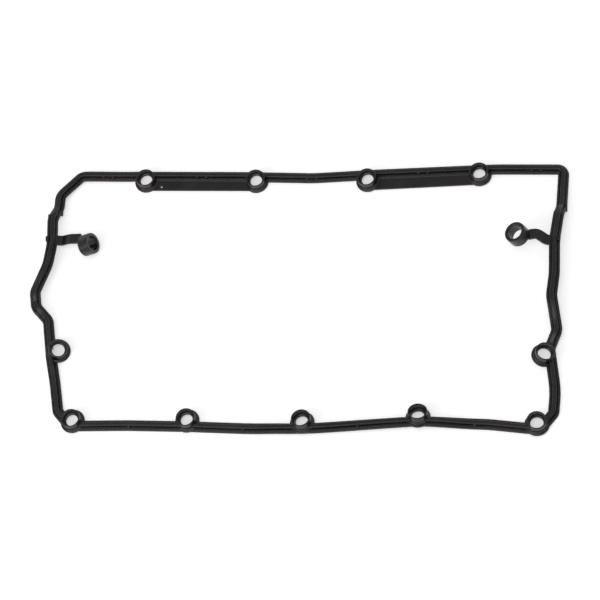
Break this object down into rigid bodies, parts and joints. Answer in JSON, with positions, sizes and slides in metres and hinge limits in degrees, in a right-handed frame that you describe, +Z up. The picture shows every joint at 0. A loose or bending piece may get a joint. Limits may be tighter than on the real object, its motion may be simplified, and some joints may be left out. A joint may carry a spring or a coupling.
{
  "type": "valve cover gasket",
  "caption": "Moulded rubber valve cover gasket: a ribbed seal running round an open frame, with tubular bolt eyelets, thin webs and grommets on short arms.",
  "frame": {"origin": "middle of the bounding box, on the plane that the gasket rests on", "axes": "+X along the two bolt rows, +Y from the front row to the back row, +Z up from the cylinder head to the cover"},
  "size_m": [0.4152, 0.2244, 0.0215],
  "materials": {
    "black_rubber": "satin moulded rubber"
  },
  "bodies": {
    "root": {"valve_cover_gasket": "black_rubber"}
  },
  "joints": []
}
